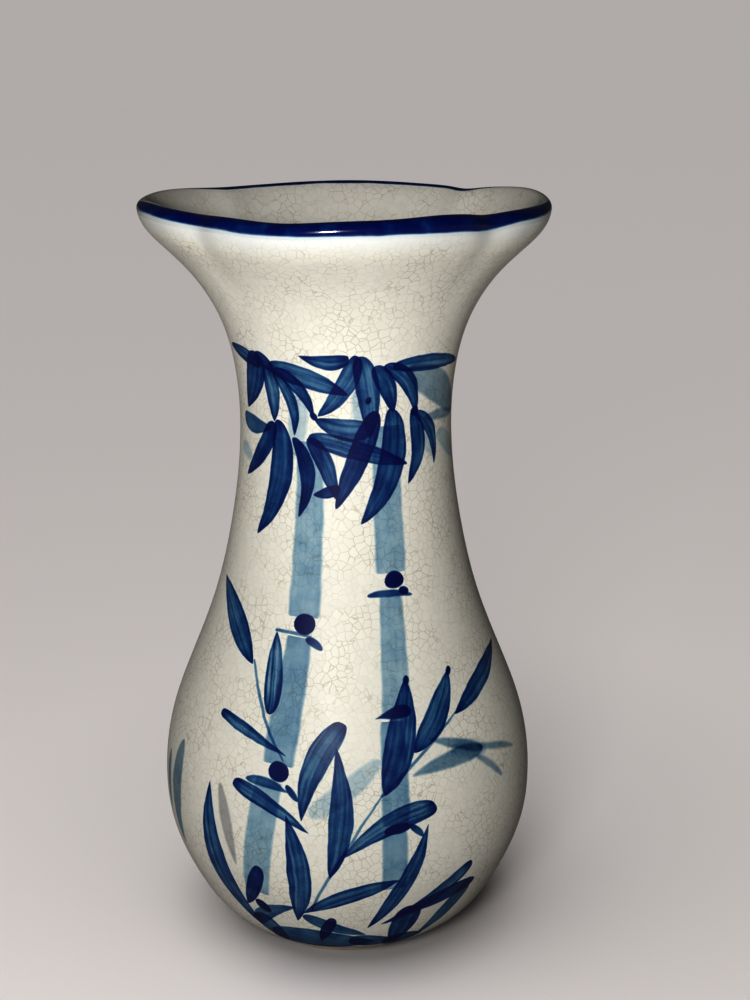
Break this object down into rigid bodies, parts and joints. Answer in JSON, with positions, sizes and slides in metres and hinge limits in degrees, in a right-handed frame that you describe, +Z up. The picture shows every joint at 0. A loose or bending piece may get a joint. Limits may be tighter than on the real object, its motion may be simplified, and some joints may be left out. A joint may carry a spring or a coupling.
{
  "type": "porcelain flower vase",
  "caption": "Crackle-glazed porcelain flower vase with a round belly, slender waist, flared four-lobed lip edged in blue, and painted bamboo.",
  "frame": {"origin": "centre of the foot, on the surface the vase stands on", "axes": "+Z up along the vase's axis, -Y the painted front, +X to the right of the front"},
  "size_m": [0.1074, 0.1074, 0.2057],
  "materials": {
    "bare_clay": "fired porcelain clay, bare only on the foot ring, fine matt grain",
    "crackle_glaze": "glossy warm white glaze with fine brown crackle, blue bamboo painted under it",
    "inside_glaze": "glossy greyish cream glaze with fine brown crackle",
    "cobalt_glaze": "deep glossy cobalt blue glaze",
    "plain_glaze": "thin glossy white glaze with sparse crackle"
  },
  "bodies": {
    "root": {"clay_body": "bare_clay", "outer_glaze": "crackle_glaze", "inner_glaze": "inside_glaze", "lip_band": "cobalt_glaze", "base_glaze": "plain_glaze"}
  },
  "joints": []
}
